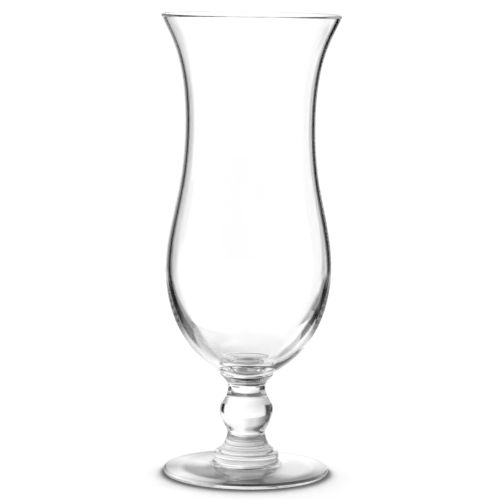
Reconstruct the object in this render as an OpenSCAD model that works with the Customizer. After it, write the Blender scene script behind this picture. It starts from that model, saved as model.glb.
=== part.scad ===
/* [Bowl] */
// Height of the bowl from its joint with the stem to the rim
bowl_h = 160.1; // [145:0.1:180]
// Outside diameter at the rim
rim_d = 80; // [72:0.5:92]
// Thickness of the rounded rim
rim_wall = 1.8; // [1.2:0.1:2.6]
// Lean of the wall outwards where it meets the rim, in degrees
rim_flare = 18; // [8:1:30]
// Outside diameter at the waist
waist_d = 58.3; // [52:0.1:64]
// Height of the waist above the joint
waist_rise = 111.2; // [104:0.1:120]
// Radius of the wall's bend at the waist
waist_bend = 185; // [140:1:260]
// Wall thickness at the waist
waist_wall = 1.9; // [1.2:0.1:2.4]
// Outside diameter at the belly
belly_d = 74.4; // [68:0.2:82]
// Height of the belly above the joint
belly_rise = 47.5; // [42:0.1:54]
// Radius of the wall's bend at the belly
belly_bend = 80; // [60:1:110]
// Wall thickness at the belly
belly_wall = 2.3; // [1.5:0.1:3]
// Solid glass between the joint and the cavity floor
base_depth = 3.4; // [2.5:0.1:8]
// Radius of the cavity's bend at the belly
cavity_bend = 49; // [42:1:60]
// Slope of the bowl's underside where it meets the joint, in degrees from upright
base_slope = 45; // [35:1:55]

/* [Stem] */
// Height of the stem from the foot's collar to the bowl
stem_h = 36; // [33:0.1:40]
// Diameter of the flat joint between stem and bowl
joint_d = 24.2; // [22:0.1:26]
// Height of the stem's upright top edge under the bowl
joint_edge = 0.9; // [0.4:0.1:1.4]
// Diameter of the neck above the ball
upper_neck_d = 17; // [14:0.1:19]
// Height of the upper neck above the collar
upper_neck_rise = 28.9; // [27.5:0.1:30.5]
// Radius of the bend at the upper neck
upper_neck_bend = 11; // [8:0.5:14]
// Diameter of the ball
ball_d = 24.3; // [20:0.1:28]
// Height of the ball's middle above the collar
ball_rise = 18.5; // [17.5:0.1:19.5]
// Radius of the ball's bulge
ball_bend = 7.3; // [5:0.1:9]
// Diameter of the neck below the ball
lower_neck_d = 17; // [14:0.1:19]
// Height of the lower neck above the collar
lower_neck_rise = 8.7; // [8:0.1:10]
// Radius of the bend at the lower neck
lower_neck_bend = 2; // [1.5:0.1:4]
// Diameter of the stem's lower end
stem_end_d = 24.8; // [22:0.1:25.6]
// Height of the stem's upright lower edge on the collar
stem_end_edge = 1.6; // [1:0.1:2.2]
// Radius that rounds the lower edge's top
stem_end_round = 0.8; // [0.3:0.1:1]

/* [Foot] */
// Diameter of the foot
foot_d = 74.4; // [66:0.2:84]
// Thickness of the foot's half-round edge
foot_edge = 2.5; // [2:0.1:3.6]
// Height of the foot's top where the collar rises from it
foot_crown = 4.3; // [3.9:0.1:5.4]
// Diameter of the raised collar
collar_d = 29.4; // [28.5:0.1:34]
// Height of the collar's flat top above the table
collar_h = 9.9; // [8.5:0.1:12]
// Radius that rounds the collar's top edge
collar_round = 1.2; // [0.8:0.1:1.6]
// Radius of the hollow corner between the collar and the foot
collar_fillet = 2.3; // [1:0.1:2.6]
// Width of the ring that the glass rests on
rest_w = 5.3; // [3:0.1:7]
// Depth of the hollow under the foot
foot_hollow = 2.1; // [0.6:0.1:2.4]

/* [Hidden] */
$fn = 96;

// Steps along each curved stretch of an outline
curve_steps = 16;
// Steps along each small rounded edge
round_steps = 6;

// Reach of the curves' handles, as shares of each stretch's height or width
rim_curve_share = 0.18;
base_curve_share = 0.05;
cavity_floor_share = 0.5;
joint_curve_share = 0.65;
stem_end_curve_share = 0.35;
foot_top_share = 0.21;

// Slopes of the stem's flares at their rims, in degrees from upright
joint_slope = 38;
stem_end_slope = 52;

// Heights of the joints above the table
stem_z = collar_h;
bowl_z = stem_z + stem_h;
rim_z = bowl_z + bowl_h;
waist_z = bowl_z + waist_rise;
belly_z = bowl_z + belly_rise;
cavity_z = bowl_z + base_depth;

// Radii
joint_r = joint_d / 2;
rim_round = rim_wall / 2;
rim_mid_r = rim_d / 2 - rim_round;
rim_mid_z = rim_z - rim_round;
edge_round = foot_edge / 2;

// Point on a cubic curve from a to d, with handles b and c
function curve_point(a, b, c, d, t) =
    pow(1 - t, 3) * a + 3 * pow(1 - t, 2) * t * b + 3 * (1 - t) * pow(t, 2) * c + pow(t, 3) * d;

// Points of a cubic curve, without its first one
function curve(a, b, c, d) =
    [for (i = [1:curve_steps]) curve_point(a, b, c, d, i / curve_steps)];

// Points of an arc between two angles, without its first one
function arc(centre, radius, from, to) =
    [for (i = [1:round_steps]) let (angle = from + (to - from) * i / round_steps)
        centre + radius * [cos(angle), sin(angle)]];

// Reach of an upright handle that bends the outline to a given radius there
function handle(side, bend) = [0, sqrt(2 / 3 * abs(side) * bend)];

// Curve up between two places where the outline stands upright, with the bend's radius at each
function upright_curve(a, b, bend_a, bend_b) =
    let (side = b[0] - a[0])
    curve(a, a + handle(side, bend_a), b - handle(side, bend_b), b);

// Curve up from a place where the outline stands upright to an end that leans
function leaning_curve(a, bend_a, end, lean) =
    curve(a, a + handle(end[0] - lean[0] - a[0], bend_a), end - lean, end);

// Wall from the belly up to the rim, set in from the outside by the wall's thickness
function wall_up(waist_in, belly_in, rim_end) =
    let (
        waist = [waist_d / 2 - waist_in, waist_z],
        belly = [belly_d / 2 - belly_in, belly_z],
        reach = (rim_end[1] - waist_z) * rim_curve_share
    )
    concat(
        upright_curve(belly, waist, belly_bend - belly_in, waist_bend + waist_in),
        leaning_curve(waist, waist_bend + waist_in, rim_end, reach * [sin(rim_flare), cos(rim_flare)])
    );

// Points of a list in the opposite order, without its last one
function back_down(points) = [for (i = [len(points) - 2:-1:0]) points[i]];

module bowl() {
    joint = [joint_r, bowl_z];
    belly = [belly_d / 2, belly_z];
    rim_mid = [rim_mid_r, rim_mid_z];
    across = rim_round * [cos(rim_flare), -sin(rim_flare)];
    cavity_side = belly - [belly_wall, 0];
    cavity_floor = [0, cavity_z];
    floor_reach = cavity_side[0] * cavity_floor_share;
    joint_reach = (belly_z - bowl_z) * base_curve_share * [sin(base_slope), cos(base_slope)];
    underside = curve(
        joint,
        joint + joint_reach,
        belly - handle(belly[0] - joint_r - joint_reach[0], belly_bend),
        belly
    );
    cavity = curve(
        cavity_side,
        cavity_side - handle(cavity_side[0] - floor_reach, cavity_bend),
        cavity_floor + [floor_reach, 0],
        cavity_floor
    );
    color("whitesmoke", 0.5)
    rotate_extrude()
    polygon(concat(
        [[0, bowl_z], joint],
        underside,
        wall_up(0, 0, rim_mid + across),
        arc(rim_mid, rim_round, -rim_flare, 180 - rim_flare),
        back_down(wall_up(waist_wall, belly_wall, rim_mid - across)),
        [cavity_side],
        cavity
    ));
}

module stem() {
    lower_end = [stem_end_d / 2, stem_z];
    lower_round = lower_end + [-stem_end_round, stem_end_edge - stem_end_round];
    lower_top = lower_round + [0, stem_end_round];
    lower_neck = [lower_neck_d / 2, stem_z + lower_neck_rise];
    ball = [ball_d / 2, stem_z + ball_rise];
    upper_neck = [upper_neck_d / 2, stem_z + upper_neck_rise];
    upper_end = [joint_r, bowl_z - joint_edge];
    lower_reach = (lower_neck[1] - lower_top[1]) * stem_end_curve_share;
    upper_reach = (upper_end[1] - upper_neck[1]) * joint_curve_share;
    upper_lean = upper_reach * [sin(joint_slope), cos(joint_slope)];
    lower_lean = lower_reach * [-sin(stem_end_slope), cos(stem_end_slope)];
    lower_side = lower_top[0] + lower_lean[0] - lower_neck[0];
    color("whitesmoke", 0.5)
    rotate_extrude()
    polygon(concat(
        [[0, stem_z], lower_end, lower_round + [stem_end_round, 0]],
        arc(lower_round, stem_end_round, 0, 90),
        curve(
            lower_top,
            lower_top + lower_lean,
            lower_neck - handle(lower_side, lower_neck_bend),
            lower_neck
        ),
        upright_curve(lower_neck, ball, lower_neck_bend, ball_bend),
        upright_curve(ball, upper_neck, ball_bend, upper_neck_bend),
        leaning_curve(upper_neck, upper_neck_bend, upper_end, upper_lean),
        [[joint_r, bowl_z], [0, bowl_z]]
    ));
}

module foot() {
    edge_mid = [foot_d / 2 - edge_round, edge_round];
    edge_top = edge_mid + [0, edge_round];
    fillet_mid = [collar_d / 2 + collar_fillet, foot_crown + collar_fillet];
    crown = fillet_mid - [0, collar_fillet];
    collar_mid = [collar_d / 2 - collar_round, collar_h - collar_round];
    slope_w = edge_top[0] - crown[0];
    rest_inner = edge_mid[0] - rest_w;
    hollow_r = (pow(rest_inner, 2) + pow(foot_hollow, 2)) / (2 * foot_hollow);
    hollow_angle = asin(rest_inner / hollow_r);
    color("whitesmoke", 0.5)
    rotate_extrude()
    polygon(concat(
        [[0, foot_hollow]],
        arc([0, foot_hollow - hollow_r], hollow_r, 90, 90 - hollow_angle),
        [[edge_mid[0], 0]],
        arc(edge_mid, edge_round, -90, 90),
        curve(
            edge_top,
            edge_top - [slope_w * foot_top_share, 0],
            crown + [slope_w * foot_top_share, 0],
            crown
        ),
        arc(fillet_mid, collar_fillet, 270, 180),
        [collar_mid + [collar_round, 0]],
        arc(collar_mid, collar_round, 0, 90),
        [[0, collar_h]]
    ));
}

foot();
stem();
bowl();
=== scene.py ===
import math

import bpy
from mathutils import Matrix, Vector


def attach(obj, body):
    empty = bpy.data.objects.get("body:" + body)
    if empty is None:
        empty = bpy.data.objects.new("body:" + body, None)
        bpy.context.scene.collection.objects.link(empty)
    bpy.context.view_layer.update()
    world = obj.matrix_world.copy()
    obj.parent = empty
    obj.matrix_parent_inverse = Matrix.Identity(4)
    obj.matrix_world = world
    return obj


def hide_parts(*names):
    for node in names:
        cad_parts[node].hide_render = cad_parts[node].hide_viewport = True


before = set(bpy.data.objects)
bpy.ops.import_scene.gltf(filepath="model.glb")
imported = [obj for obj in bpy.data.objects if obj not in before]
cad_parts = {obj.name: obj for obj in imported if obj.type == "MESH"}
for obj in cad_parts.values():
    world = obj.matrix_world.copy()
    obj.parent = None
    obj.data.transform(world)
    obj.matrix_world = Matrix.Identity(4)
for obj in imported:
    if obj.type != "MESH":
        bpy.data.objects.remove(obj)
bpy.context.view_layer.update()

# Bowl
# One gob of clear soda-lime glass, blown in a mould. Its rim is cut and fire-polished round, and its
# base is left thick above the small flat disc where the hot stem is fused on.
mm = 0.001
joint_z = 45.9 * mm
joint_r = 12.1 * mm
rim_z = 206.0 * mm
rim_r = 40.0 * mm
rim_wall = 1.8 * mm
rim_flare = math.radians(18)
waist_z = 157.1 * mm
waist_r = 29.15 * mm
waist_wall = 1.9 * mm
waist_bend = 185.0 * mm
belly_z = 93.4 * mm
belly_r = 37.2 * mm
belly_wall = 2.3 * mm
belly_bend = 80.0 * mm
base_slope = math.radians(45)
cavity_z = 49.3 * mm
cavity_bend = 49.0 * mm
rim_curve_share = 0.18
base_curve_share = 0.05
cavity_floor_share = 0.5
steps_round = 240
wall_steps = 44
edge_steps = 10
flat_steps = 6
sharp_corner = math.radians(50)
merge_gap = 0.002 * mm
same_height = 0.001 * mm
seam_fade = 3.0 * mm
no_seam_width = 1.0
no_joint_z = -1.0
white = (1, 1, 1, 1)
glass_ior = 1.52
ripple_depth = 0.002 * mm
blown_ripples = 60.0
blown_stretch = (1.0, 1.0, 0.15)


def place(r, z):
    """A point of an outline, which lies in the plane where y is zero."""
    return Vector((r, 0, z))


def curve(a, b, c, d):
    """Points of a cubic curve from a to d, with handles b and c, without its first one."""
    points = []
    for step in range(1, wall_steps + 1):
        t = step / wall_steps
        s = 1 - t
        points.append(s**3 * a + 3 * s**2 * t * b + 3 * s * t**2 * c + t**3 * d)
    return points


def line(a, b, steps):
    """Points of a straight stretch, without its first one."""
    return [a.lerp(b, step / steps) for step in range(1, steps + 1)]


def arc(middle, radius, start, end, steps=edge_steps):
    """Points of an arc between two angles in degrees, without its first one."""
    points = []
    for step in range(1, steps + 1):
        angle = math.radians(start + (end - start) * step / steps)
        points.append(middle + radius * place(math.cos(angle), math.sin(angle)))
    return points


def handle(side, bend):
    """An upright handle that bends the outline to a given radius there."""
    return place(0, math.sqrt(2 / 3 * abs(side) * bend))


def upright_curve(a, b, bend_a, bend_b):
    """Curve up between two places where the outline stands upright."""
    side = b.x - a.x
    return curve(a, a + handle(side, bend_a), b - handle(side, bend_b), b)


def leaning_curve(a, bend_a, end, lean):
    """Curve up from a place where the outline stands upright to an end that leans."""
    return curve(a, a + handle(end.x - lean.x - a.x, bend_a), end - lean, end)


def wall_up(waist_in, belly_in, rim_end):
    """Wall from the belly up to the rim, set in from the outside by the wall's thickness."""
    waist = place(waist_r - waist_in, waist_z)
    belly = place(belly_r - belly_in, belly_z)
    reach = (rim_end.z - waist_z) * rim_curve_share
    lean = reach * place(math.sin(rim_flare), math.cos(rim_flare))
    lower_wall = upright_curve(belly, waist, belly_bend - belly_in, waist_bend + waist_in)
    return lower_wall + leaning_curve(waist, waist_bend + waist_in, rim_end, lean)


class Tree:
    """A geometry or shader node tree that is built a node at a time."""

    def __init__(self, nodes, links):
        self.nodes = nodes
        self.links = links

    def node(self, kind, inputs=(), **settings):
        made = self.nodes.new(kind)
        for name, value in settings.items():
            setattr(made, name, value)
        for name, value in dict(inputs).items():
            if isinstance(value, bpy.types.NodeSocket):
                self.links.new(value, made.inputs[name])
            else:
                made.inputs[name].default_value = value
        return made

    def math(self, operation, a, b=0.0):
        return self.node("ShaderNodeMath", {0: a, 1: b}, operation=operation).outputs[0]


def turning_tree():
    """Geometry nodes that turn an outline round the Z axis, as glass is turned in its mould."""
    group = bpy.data.node_groups.new("turned_glass", "GeometryNodeTree")
    sockets = group.interface
    sockets.new_socket("Outline", in_out="INPUT", socket_type="NodeSocketGeometry")
    for name, kind in (
        ("Steps round", "NodeSocketInt"),
        ("Seam height", "NodeSocketFloat"),
        ("Seam width", "NodeSocketFloat"),
        ("Seam turn", "NodeSocketFloat"),
        ("Seam low end", "NodeSocketFloat"),
        ("Seam high end", "NodeSocketFloat"),
        ("Lower joint height", "NodeSocketFloat"),
        ("Upper joint height", "NodeSocketFloat"),
        ("Glass", "NodeSocketMaterial"),
        ("Fused joint", "NodeSocketMaterial"),
    ):
        sockets.new_socket(name, in_out="INPUT", socket_type=kind)
    sockets.new_socket("Turned", in_out="OUTPUT", socket_type="NodeSocketGeometry")
    t = Tree(group.nodes, group.links)
    given = t.node("NodeGroupInput").outputs
    rows = t.node("GeometryNodeAttributeDomainSize", {"Geometry": given["Outline"]}).outputs["Point Count"]
    columns = t.math("ADD", given["Steps round"], 1.0)
    grid = t.node("GeometryNodeMeshGrid", {"Vertices X": columns, "Vertices Y": rows})
    index = t.node("GeometryNodeInputIndex").outputs[0]
    row = t.math("FLOORED_MODULO", index, rows)
    # Half a point is added so that a whole number isn't rounded down to the one before it
    column = t.math("FLOOR", t.math("DIVIDE", t.math("ADD", index, 0.5), rows))
    outline_place = t.node(
        "GeometryNodeSampleIndex",
        {"Geometry": given["Outline"], "Value": t.node("GeometryNodeInputPosition").outputs[0], "Index": row},
        data_type="FLOAT_VECTOR",
    ).outputs["Value"]
    part = t.node("ShaderNodeSeparateXYZ", {0: outline_place}).outputs
    angle = t.math("MULTIPLY", t.math("DIVIDE", column, given["Steps round"]), math.tau)
    # The seam is a low ridge on two opposite sides, where the halves of the mould met
    off_seam = t.math("MULTIPLY", part["X"], t.math("SINE", t.math("SUBTRACT", angle, given["Seam turn"])))
    across = t.math("POWER", t.math("DIVIDE", off_seam, given["Seam width"]), 2.0)
    ridge = t.math("EXPONENT", t.math("MULTIPLY", across, -1.0))
    fades = []
    for end, inwards in ((given["Seam low end"], "ADD"), (given["Seam high end"], "SUBTRACT")):
        fades.append(
            t.node(
                "ShaderNodeMapRange",
                {"Value": part["Z"], "From Min": end, "From Max": t.math(inwards, end, seam_fade)},
                interpolation_type="SMOOTHSTEP",
            ).outputs[0]
        )
    full_height = t.math("MULTIPLY", ridge, given["Seam height"])
    raised = t.math("MULTIPLY", full_height, t.math("MULTIPLY", fades[0], fades[1]))
    radius = t.math("ADD", part["X"], raised)
    turned_place = t.node(
        "ShaderNodeCombineXYZ",
        {
            "X": t.math("MULTIPLY", radius, t.math("COSINE", angle)),
            "Y": t.math("MULTIPLY", radius, t.math("SINE", angle)),
            "Z": part["Z"],
        },
    ).outputs[0]
    shaped = t.node("GeometryNodeSetPosition", {"Geometry": grid.outputs["Mesh"], "Position": turned_place})
    closed = t.node("GeometryNodeMergeByDistance", {"Geometry": shaped.outputs[0], "Distance": merge_gap})
    corner = t.node("GeometryNodeInputMeshEdgeAngle").outputs["Unsigned Angle"]
    is_smooth = t.node("FunctionNodeCompare", {0: corner, 1: sharp_corner}, operation="LESS_THAN").outputs[0]
    smooth = t.node("GeometryNodeSetShadeSmooth", {0: closed.outputs[0]})
    smooth_edges = t.node(
        "GeometryNodeSetShadeSmooth", {0: smooth.outputs[0], "Shade Smooth": is_smooth}, domain="EDGE"
    )
    height = t.node(
        "ShaderNodeSeparateXYZ", {0: t.node("GeometryNodeInputPosition").outputs[0]}
    ).outputs["Z"]
    at_joint = []
    for name in ("Lower joint height", "Upper joint height"):
        at_joint.append(
            t.node(
                "FunctionNodeCompare", {0: height, 1: given[name], "Epsilon": same_height}, operation="EQUAL"
            ).outputs[0]
        )
    fused = t.node("FunctionNodeBooleanMath", {0: at_joint[0], 1: at_joint[1]}, operation="OR").outputs[0]
    real = t.node("GeometryNodeRealizeInstances", {0: smooth_edges.outputs[0]})
    glazed = t.node("GeometryNodeSetMaterial", {"Geometry": real.outputs[0], "Material": given["Glass"]})
    joined = t.node(
        "GeometryNodeSetMaterial",
        {"Geometry": glazed.outputs[0], "Selection": fused, "Material": given["Fused joint"]},
    )
    out = t.node("NodeGroupOutput")
    group.links.new(joined.outputs[0], out.inputs[0])
    return group


def turn(name, outline, glass, **sizes):
    """Turns an outline into a closed piece and gives it as a plain mesh object."""
    mesh = bpy.data.meshes.new(name + "_outline")
    mesh.from_pydata(outline, [(i, i + 1) for i in range(len(outline) - 1)], [])
    drawn = bpy.data.objects.new(name + "_outline", mesh)
    bpy.context.collection.objects.link(drawn)
    modifier = drawn.modifiers.new("turn", "NODES")
    modifier.node_group = turned_glass
    values = {"Steps round": steps_round, "Seam width": no_seam_width}
    values.update({"Lower joint height": no_joint_z, "Upper joint height": no_joint_z})
    values.update({"Glass": glass, "Fused joint": fused_joint})
    values.update({key.replace("_", " ").capitalize(): value for key, value in sizes.items()})
    for item in turned_glass.interface.items_tree:
        if item.in_out == "INPUT" and item.name in values:
            modifier[item.identifier] = values[item.name]
    seen = drawn.evaluated_get(bpy.context.evaluated_depsgraph_get())
    made = bpy.data.meshes.new_from_object(seen)
    made.name = name
    piece = bpy.data.objects.new(name, made)
    bpy.context.collection.objects.link(piece)
    bpy.data.objects.remove(drawn)
    bpy.data.meshes.remove(mesh)
    return piece


def clear_glass(name, ripples, stretch):
    """Clear soda-lime glass, whose skin keeps faint ripples from the mould."""
    material = bpy.data.materials.new(name)
    material.use_nodes = True
    t = Tree(material.node_tree.nodes, material.node_tree.links)
    t.nodes.clear()
    where = t.node("ShaderNodeTexCoord").outputs["Object"]
    mapped = t.node("ShaderNodeMapping", {"Vector": where, "Scale": stretch}).outputs[0]
    noise = t.node(
        "ShaderNodeTexNoise", {"Vector": mapped, "Scale": ripples, "Detail": 2.0, "Roughness": 0.45}
    ).outputs[0]
    bump = t.node("ShaderNodeBump", {"Height": noise, "Distance": ripple_depth, "Strength": 1.0})
    shader = t.node(
        "ShaderNodeBsdfPrincipled",
        {
            "Base Color": white,
            "Roughness": 0.0,
            "IOR": glass_ior,
            "Transmission Weight": 1.0,
            "Normal": bump.outputs[0],
        },
    )
    t.node("ShaderNodeOutputMaterial", {"Surface": shader.outputs[0]})
    return material


def joint_glass():
    """Where two pieces are fused, light goes straight on from one into the other."""
    material = bpy.data.materials.new("fused_joint")
    material.use_nodes = True
    t = Tree(material.node_tree.nodes, material.node_tree.links)
    t.nodes.clear()
    clear = t.node("ShaderNodeBsdfTransparent", {"Color": white})
    t.node("ShaderNodeOutputMaterial", {"Surface": clear.outputs[0]})
    return material


turned_glass = turning_tree()
fused_joint = joint_glass()
blown_glass = clear_glass("blown_glass", blown_ripples, blown_stretch)

joint = place(joint_r, joint_z)
joint_reach = (belly_z - joint_z) * base_curve_share * place(math.sin(base_slope), math.cos(base_slope))
belly = place(belly_r, belly_z)
rim_round = rim_wall / 2
rim_mid = place(rim_r - rim_round, rim_z - rim_round)
across_rim = rim_round * place(math.cos(rim_flare), -math.sin(rim_flare))
cavity_side = belly - place(belly_wall, 0)
cavity_floor = place(0, cavity_z)
floor_reach = place(cavity_side.x * cavity_floor_share, 0)
flare_degrees = math.degrees(rim_flare)
bowl_outline = (
    [place(0, joint_z)]
    + line(place(0, joint_z), joint, flat_steps)
    + curve(joint, joint + joint_reach, belly - handle(belly.x - joint_r - joint_reach.x, belly_bend), belly)
    + wall_up(0, 0, rim_mid + across_rim)
    + arc(rim_mid, rim_round, -flare_degrees, 180 - flare_degrees, 2 * edge_steps)
    + wall_up(waist_wall, belly_wall, rim_mid - across_rim)[-2::-1]
    + [cavity_side]
    + curve(
        cavity_side,
        cavity_side - handle(cavity_side.x - floor_reach.x, cavity_bend),
        cavity_floor + floor_reach,
        cavity_floor,
    )
)
bowl = turn("blown_bowl", bowl_outline, blown_glass, lower_joint_height=joint_z)
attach(bowl, "root")
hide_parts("bowl")

# Stem
# Pressed from a second gob in a mould of two halves, solid, with a ball between two necks. It is
# fused hot between the bowl's disc and the foot's collar, and keeps a faint mould seam on two sides.
collar_z = 9.9 * mm
stem_end_r = 12.4 * mm
stem_end_edge = 1.6 * mm
stem_end_round = 0.8 * mm
stem_end_slope = math.radians(52)
stem_end_curve_share = 0.35
lower_neck_z = 18.6 * mm
lower_neck_r = 8.5 * mm
lower_neck_bend = 2.0 * mm
ball_z = 28.4 * mm
ball_r = 12.15 * mm
ball_bend = 7.3 * mm
upper_neck_z = 38.8 * mm
upper_neck_r = 8.5 * mm
upper_neck_bend = 11.0 * mm
joint_edge = 0.9 * mm
joint_slope = math.radians(38)
joint_curve_share = 0.65
seam_height = 0.08 * mm
seam_width = 0.45 * mm
seam_turn = math.radians(-35)
pressed_ripples = 90.0
pressed_stretch = (1.0, 1.0, 1.0)

pressed_glass = clear_glass("pressed_glass", pressed_ripples, pressed_stretch)
lower_end = place(stem_end_r, collar_z)
lower_round = lower_end + place(-stem_end_round, stem_end_edge - stem_end_round)
lower_top = lower_round + place(0, stem_end_round)
lower_neck = place(lower_neck_r, lower_neck_z)
ball = place(ball_r, ball_z)
upper_neck = place(upper_neck_r, upper_neck_z)
upper_end = place(joint_r, joint_z - joint_edge)
lower_way = place(-math.sin(stem_end_slope), math.cos(stem_end_slope))
lower_lean = (lower_neck_z - lower_top.z) * stem_end_curve_share * lower_way
upper_way = place(math.sin(joint_slope), math.cos(joint_slope))
upper_lean = (upper_end.z - upper_neck_z) * joint_curve_share * upper_way
stem_outline = (
    [place(0, collar_z)]
    + line(place(0, collar_z), lower_end, flat_steps)
    + [lower_round + place(stem_end_round, 0)]
    + arc(lower_round, stem_end_round, 0, 90)
    + curve(
        lower_top,
        lower_top + lower_lean,
        lower_neck - handle(lower_top.x + lower_lean.x - lower_neck_r, lower_neck_bend),
        lower_neck,
    )
    + upright_curve(lower_neck, ball, lower_neck_bend, ball_bend)
    + upright_curve(ball, upper_neck, ball_bend, upper_neck_bend)
    + leaning_curve(upper_neck, upper_neck_bend, upper_end, upper_lean)
    + [joint]
    + line(joint, place(0, joint_z), flat_steps)
)
stem = turn(
    "pressed_stem",
    stem_outline,
    pressed_glass,
    lower_joint_height=collar_z,
    upper_joint_height=joint_z,
    seam_height=seam_height,
    seam_width=seam_width,
    seam_turn=seam_turn,
    seam_low_end=collar_z + stem_end_edge,
    seam_high_end=joint_z - joint_edge,
)
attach(stem, "root")
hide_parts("stem")

# Foot
# A plate pressed from a third gob, with a raised collar that the stem is fused to, a rounded edge,
# and a shallow hollow underneath that leaves a narrow ring to rest on.
foot_r = 37.2 * mm
foot_edge = 2.5 * mm
foot_crown = 4.3 * mm
collar_r = 14.7 * mm
collar_round = 1.2 * mm
collar_fillet = 2.3 * mm
rest_w = 5.3 * mm
foot_hollow = 2.1 * mm
foot_top_share = 0.21
ledge_steps = 3

edge_round = foot_edge / 2
edge_mid = place(foot_r - edge_round, edge_round)
edge_top = edge_mid + place(0, edge_round)
fillet_mid = place(collar_r + collar_fillet, foot_crown + collar_fillet)
crown = fillet_mid - place(0, collar_fillet)
collar_mid = place(collar_r - collar_round, collar_z - collar_round)
slope_reach = place((edge_top.x - crown.x) * foot_top_share, 0)
rest_inner = edge_mid.x - rest_w
hollow_r = (rest_inner**2 + foot_hollow**2) / (2 * foot_hollow)
hollow_angle = math.degrees(math.asin(rest_inner / hollow_r))
foot_outline = (
    [place(0, foot_hollow)]
    + arc(place(0, foot_hollow - hollow_r), hollow_r, 90, 90 - hollow_angle, wall_steps)
    + [place(edge_mid.x, 0)]
    + arc(edge_mid, edge_round, -90, 90, 2 * edge_steps)
    + curve(edge_top, edge_top - slope_reach, crown + slope_reach, crown)
    + arc(fillet_mid, collar_fillet, 270, 180)
    + [collar_mid + place(collar_round, 0)]
    + arc(collar_mid, collar_round, 0, 90)
    + line(collar_mid + place(0, collar_round), place(stem_end_r, collar_z), ledge_steps)
    + line(place(stem_end_r, collar_z), place(0, collar_z), flat_steps)
)
foot = turn("pressed_foot", foot_outline, pressed_glass)
# Only the middle of the collar's flat top is fused to the stem, and its ledge stays bare glass
for polygon in foot.data.polygons:
    middle = polygon.center
    if abs(middle.z - collar_z) < same_height and math.hypot(middle.x, middle.y) < stem_end_r:
        polygon.material_index = foot.data.materials.find("fused_joint")
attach(foot, "root")
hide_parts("foot")

# Studio
# A white table that runs on to a white sweep, under white light from all round. A room of light and
# dark tones round it shows only in the glass, turns with the camera, and draws the glass's edges.
view_distance = 1072.9 * mm
view_height = 237.9 * mm
view_pitch = math.radians(7.27)
view_roll = math.radians(0.75)
view_side = 0.6 * mm
view_lens = 174.3
view_sensor = 36.0
view_end = 50.0
camera_data = bpy.data.cameras.new("camera")
camera_data.lens = view_lens
camera_data.sensor_width = view_sensor
camera_data.clip_end = view_end
camera = bpy.data.objects.new("camera", camera_data)
bpy.context.collection.objects.link(camera)
camera.matrix_world = (
    Matrix.Translation((view_side, -view_distance, view_height))
    @ Matrix.Rotation(math.radians(90) - view_pitch, 4, "X")
    @ Matrix.Rotation(view_roll, 4, "Z")
)
bpy.context.scene.camera = camera

# To the camera the table is white, with a painted shadow where the foot keeps the light from behind off it.
# Seen in the glass it shows painted shade and light instead: light and dark greys under the solid
# stem and the clear foot, and then those of the ground beside them, out to where the room's own tones begin.
table_half = 12.0
table_mesh = bpy.data.meshes.new("table")
table_corners = [(-table_half, -table_half, 0), (table_half, -table_half, 0)]
table_corners += [(table_half, table_half, 0), (-table_half, table_half, 0)]
table_mesh.from_pydata(table_corners, [], [(0, 1, 2, 3)])
table = bpy.data.objects.new("table", table_mesh)
bpy.context.collection.objects.link(table)


def degrees_round(t, where):
    """Degrees round the glass from straight behind it, seen from above, to the right."""
    return t.math("MULTIPLY", t.math("ARCTAN2", where["X"], where["Y"]), math.degrees(1))


def reach_of(t, where):
    """Distance out from the glass's axis."""
    across = t.math("ADD", t.math("POWER", where["X"], 2.0), t.math("POWER", where["Y"], 2.0))
    return t.math("SQRT", across)


def ramp(t, value, stops):
    """A tone that runs evenly between stops, each a place and its tone."""
    low = stops[0][0]
    high = stops[-1][0]
    share = t.node("ShaderNodeMapRange", {"Value": value, "From Min": low, "From Max": high})
    made = t.node("ShaderNodeValToRGB", {"Fac": share.outputs[0]})
    band = made.color_ramp
    while len(band.elements) < len(stops):
        band.elements.new(0.5)
    for element, (place_at, tone) in zip(band.elements, stops):
        element.position = (place_at - low) / (high - low)
        element.color = (tone, tone, tone, 1)
    return t.node("ShaderNodeSeparateColor", {0: made.outputs[0]}).outputs[0]


def mix(t, share, a, b):
    """Runs from tone a to tone b as the share goes from zero to one."""
    kept = t.math("MULTIPLY", t.math("SUBTRACT", 1.0, share), a)
    return t.math("ADD", kept, t.math("MULTIPLY", share, b))


def layers(t, turn_at, height, rows):
    """Tones round the glass in rows, each with where it starts and ends, and smooth between."""
    tone = ramp(t, turn_at, rows[0][2])
    for before, row in zip(rows, rows[1:]):
        share = t.node("ShaderNodeMapRange", {"Value": height, "From Min": before[1], "From Max": row[0]})
        tone = mix(t, share.outputs[0], tone, ramp(t, turn_at, row[2]))
    return tone


near_table = [(-180, 1.0), (-66, 1.0), (-58, 0.4), (-40, 0.4), (-25, 0.6), (-10, 0.85), (0, 1.0),
              (30, 1.0), (40, 0.5), (56, 0.5), (64, 1.0), (180, 1.0)]
# Painted shade and light on the table under the stem, the foot, its rim and just past its edge
stem_shade = [(-180, 0.1), (-90, 0.15), (-5, 0.25), (8, 0.5), (90, 0.2), (180, 0.1)]
foot_shade = [(-180, 0.0), (-165, 0.25), (-150, 0.0), (-120, 0.2), (-90, 0.0), (-60, 1.0), (-30, 0.3),
              (-5, 0.3), (8, 0.8), (30, 1.0), (60, 0.6), (120, 0.6), (150, 0.05), (180, 0.0)]
rim_shade = [(-180, 0.05), (-165, 0.1), (-150, 0.55), (-120, 1.0), (-90, 0.45), (-60, 1.0), (-30, 0.4),
             (-5, 0.4), (8, 0.9), (60, 1.0), (90, 0.65), (120, 0.1), (180, 0.05)]
edge_shade = [(-180, 0.0), (-165, 0.0), (-150, 0.2), (-120, 0.1), (-90, 0.1), (-60, 0.75), (-30, 0.6),
              (-5, 0.6), (8, 0.9), (60, 1.0), (90, 0.1), (180, 0.0)]
painted_light_shade_rows = [(0, 14 * mm, stem_shade), (18 * mm, 27 * mm, foot_shade), (30 * mm, 36 * mm, rim_shade)]
painted_light_shade_rows += [(38 * mm, 45 * mm, edge_shade), (55 * mm, 60 * mm, near_table)]
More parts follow.
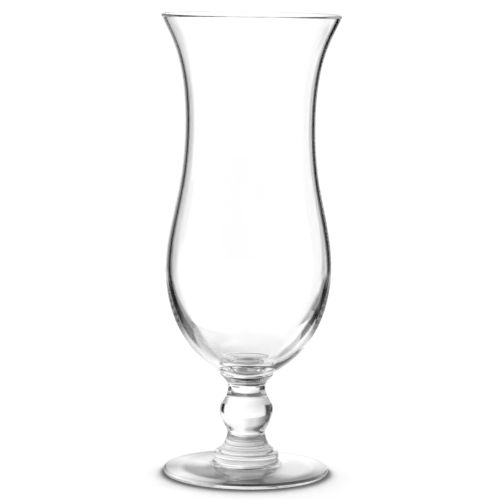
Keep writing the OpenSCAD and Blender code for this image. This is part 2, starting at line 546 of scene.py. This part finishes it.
under_foot_r = 33.0 * mm
past_foot_r = 36.5 * mm
contact_reach = 35.0 * mm
contact_lean = math.radians(55)
contact_samples = 16
contact_tones = [(0.0, 0.1), (0.6, 0.18), (0.75, 0.27), (0.8, 0.32), (0.83, 0.45), (0.86, 0.58),
                 (0.885, 0.75), (0.905, 1.0), (1.0, 1.0)]
table_matt = 0.45
table_lift = 0.62
table_white = bpy.data.materials.new("table_white")
table_white.use_nodes = True
t = Tree(table_white.node_tree.nodes, table_white.node_tree.links)
t.nodes.clear()
path = t.node("ShaderNodeLightPath").outputs
in_glass = t.math("MAXIMUM", path["Is Glossy Ray"], path["Is Transmission Ray"])
seen = t.math("MAXIMUM", path["Is Camera Ray"], in_glass)
# Painted shadow: the share of open sky towards the light behind, turned into tones by contact_tones
towards_light = t.node(
    "ShaderNodeCombineXYZ", {"X": 0.0, "Y": math.sin(contact_lean), "Z": math.cos(contact_lean)}
).outputs[0]
open_share = t.node(
    "ShaderNodeAmbientOcclusion",
    {"Distance": contact_reach, "Normal": towards_light},
    samples=contact_samples,
).outputs["AO"]
shade = ramp(t, open_share, contact_tones)
where = t.node("ShaderNodeSeparateXYZ", {0: t.node("ShaderNodeTexCoord").outputs["Object"]}).outputs
reach = reach_of(t, where)
# Painted shade and light seen only in the glass, by degrees round the glass and distance from its axis
painted_light_shade = layers(t, degrees_round(t, where), reach, painted_light_shade_rows)
outside = t.node(
    "ShaderNodeMapRange", {"Value": reach, "From Min": under_foot_r, "From Max": past_foot_r}
).outputs[0]
# The painted shade and shadow darken both the table's matt colour and its glow
tone = mix(t, t.math("MULTIPLY", outside, path["Is Camera Ray"]), painted_light_shade, shade)
matt_tone = t.math("MULTIPLY", t.math("MULTIPLY", tone, outside), table_matt)
matt_color = t.node("ShaderNodeCombineXYZ", {"X": matt_tone, "Y": matt_tone, "Z": matt_tone}).outputs[0]
matt = t.node("ShaderNodeBsdfDiffuse", {"Color": matt_color})
lift_tone = t.math("MULTIPLY", tone, mix(t, outside, 1.0, table_lift))
lift = t.node("ShaderNodeEmission", {"Color": white, "Strength": t.math("MULTIPLY", seen, lift_tone)})
both = t.node("ShaderNodeAddShader", {0: matt.outputs[0], 1: lift.outputs[0]})
t.node("ShaderNodeOutputMaterial", {"Surface": both.outputs[0]})
table_mesh.materials.append(table_white)

world = bpy.data.worlds.new("studio")
bpy.context.scene.world = world
world.use_nodes = True
t = Tree(world.node_tree.nodes, world.node_tree.links)
t.nodes.clear()
sky = t.node("ShaderNodeBackground", {"Color": white, "Strength": 1.0})
t.node("ShaderNodeOutputWorld", {"Surface": sky.outputs[0]})

# The room is a little brighter than the sweep, to make up for what the glass takes
room_light = 1.08


def surround(name, points, faces, rows, height_of):
    """Makes a part of the room, which is seen only in the glass and turns with the camera."""
    mesh = bpy.data.meshes.new(name)
    mesh.from_pydata(points, [], faces)
    made = bpy.data.objects.new(name, mesh)
    bpy.context.collection.objects.link(made)
    material = bpy.data.materials.new(name)
    material.use_nodes = True
    t = Tree(material.node_tree.nodes, material.node_tree.links)
    t.nodes.clear()
    where = t.node("ShaderNodeSeparateXYZ", {0: t.node("ShaderNodeTexCoord").outputs["Object"]}).outputs
    tone = layers(t, degrees_round(t, where), height_of(t, where), rows)
    level = t.math("MULTIPLY", tone, room_light)
    light = t.node("ShaderNodeEmission", {"Color": white, "Strength": level})
    t.node("ShaderNodeOutputMaterial", {"Surface": light.outputs[0]})
    mesh.materials.append(material)
    made.visible_camera = False
    made.visible_diffuse = False
    made.visible_shadow = False
    follow = made.constraints.new("COPY_ROTATION")
    follow.target = camera
    follow.use_x = False
    follow.use_y = False


def rise_of(t, where):
    """Degrees up from the table, seen from the foot of the glass."""
    return t.math("MULTIPLY", t.math("ARCTAN2", where["Z"], reach_of(t, where)), math.degrees(1))


def height_over(t, where):
    """Height over the table."""
    return where["Z"]


# Tones by degrees round the glass, from behind it to the right. The dark stretches on each side of
# the sweep draw the dark lines of the glass's walls, and the dark walls on the camera's side keep
# those lines dark in the belly. A low card close to the glass shades the ball, and is lighter
# towards its top.
horizon = [(-180, 1.0), (-65, 1.0), (-57, 0.0), (-33, 0.0), (-28, 0.3), (-23, 0.05), (-18, 0.95), (0, 1.0),
           (14, 1.0), (18, 0.0), (36, 0.0), (42, 0.9), (48, 1.0), (180, 1.0)]
walls = [(-180, 0.05), (-140, 0.1), (-110, 0.5), (-95, 0.8), (-80, 0.9), (-62, 0.8), (-54, 0.0),
         (-45, 0.0), (-35, 0.2), (-25, 0.4), (-15, 0.7), (-5, 0.75), (5, 1.0), (70, 1.0), (90, 0.8),
         (110, 0.5), (140, 0.1), (180, 0.05)]
high_walls = [(-180, 0.2), (-130, 0.6), (-100, 1.0), (-60, 0.4), (-40, 0.0), (-15, 0.15), (0, 0.4),
              (6, 0.95), (30, 1.0), (60, 0.6), (90, 0.85), (130, 0.6), (180, 0.2)]
ceiling = [(-180, 0.0), (-120, 0.25), (-80, 0.0), (20, 0.0), (60, 0.35), (100, 0.35), (140, 0.15),
           (180, 0.0)]
mid_table = [(-180, 1.0), (-70, 1.0), (-58, 0.0), (-26, 0.0), (-21, 1.0), (18, 1.0), (23, 0.1), (28, 0.0),
             (60, 0.0), (80, 1.0), (180, 1.0)]
far_table = [(-180, 1.0), (-68, 1.0), (-57, 0.0), (-28, 0.0), (-23, 0.8), (-17, 1.0), (18, 1.0), (23, 0.0),
             (52, 0.0), (60, 1.0), (180, 1.0)]
low_card = [(-180, 1.0), (-76, 1.0), (-64, 0.0), (-32, 0.0), (-26, 0.7), (-15, 0.75), (-5, 0.9), (5, 1.0),
            (38, 1.0), (43, 0.0), (58, 0.0), (64, 1.0), (180, 1.0)]
card_top = [(-180, 1.0), (-76, 1.0), (-64, 0.0), (-32, 0.0), (-26, 0.8), (-15, 0.9), (-5, 1.0), (38, 1.0),
            (43, 0.0), (58, 0.0), (64, 1.0), (180, 1.0)]

dome_r = 2.5
dome_levels = 24
steps_around = 96
edges_r = 60 * mm
edges_z = 0.2 * mm
card_r = 90 * mm
card_h = 32 * mm
dome_rows = [(0, 3, horizon), (6, 22, walls), (30, 33, high_walls), (50, 90, ceiling)]
table_rows = [(0, 110 * mm, near_table), (130 * mm, 200 * mm, mid_table)]
table_rows += [(240 * mm, 400 * mm, far_table), (600 * mm, dome_r, horizon)]
card_rows = [(0, 2 * mm, low_card), (20 * mm, card_h, card_top)]


def rings(circles):
    """Points and faces of circles round the glass, each with its radius and height, and joined."""
    points = []
    for ring_r, ring_z in circles:
        for step in range(steps_around):
            turn_at = math.tau * step / steps_around
            points.append((ring_r * math.sin(turn_at), ring_r * math.cos(turn_at), ring_z))
    faces = []
    for low in range(0, len(points) - steps_around, steps_around):
        high = low + steps_around
        for step in range(steps_around):
            after = (step + 1) % steps_around
            faces.append((low + step, low + after, high + after, high + step))
    return points, faces


dome_circles = []
for level in range(dome_levels):
    rise = math.radians(90 * level / dome_levels)
    dome_circles.append((dome_r * math.cos(rise), dome_r * math.sin(rise)))
points, faces = rings(dome_circles)
faces.append(list(range(len(points) - steps_around, len(points))))
surround("dark_room", points, faces, dome_rows, rise_of)
points, faces = rings([(edges_r, edges_z), (dome_r, edges_z)])
surround("table_edges", points, faces, table_rows, reach_of)
points, faces = rings([(card_r, edges_z), (card_r, card_h)])
surround("low_card", points, faces, card_rows, height_over)

# Light goes through many faces of clear glass before it is lost
glass_bounces = 128
scene = bpy.context.scene
scene.view_settings.view_transform = "Standard"
scene.cycles.max_bounces = glass_bounces
scene.cycles.transmission_bounces = glass_bounces
scene.cycles.glossy_bounces = glass_bounces
scene.cycles.transparent_max_bounces = glass_bounces
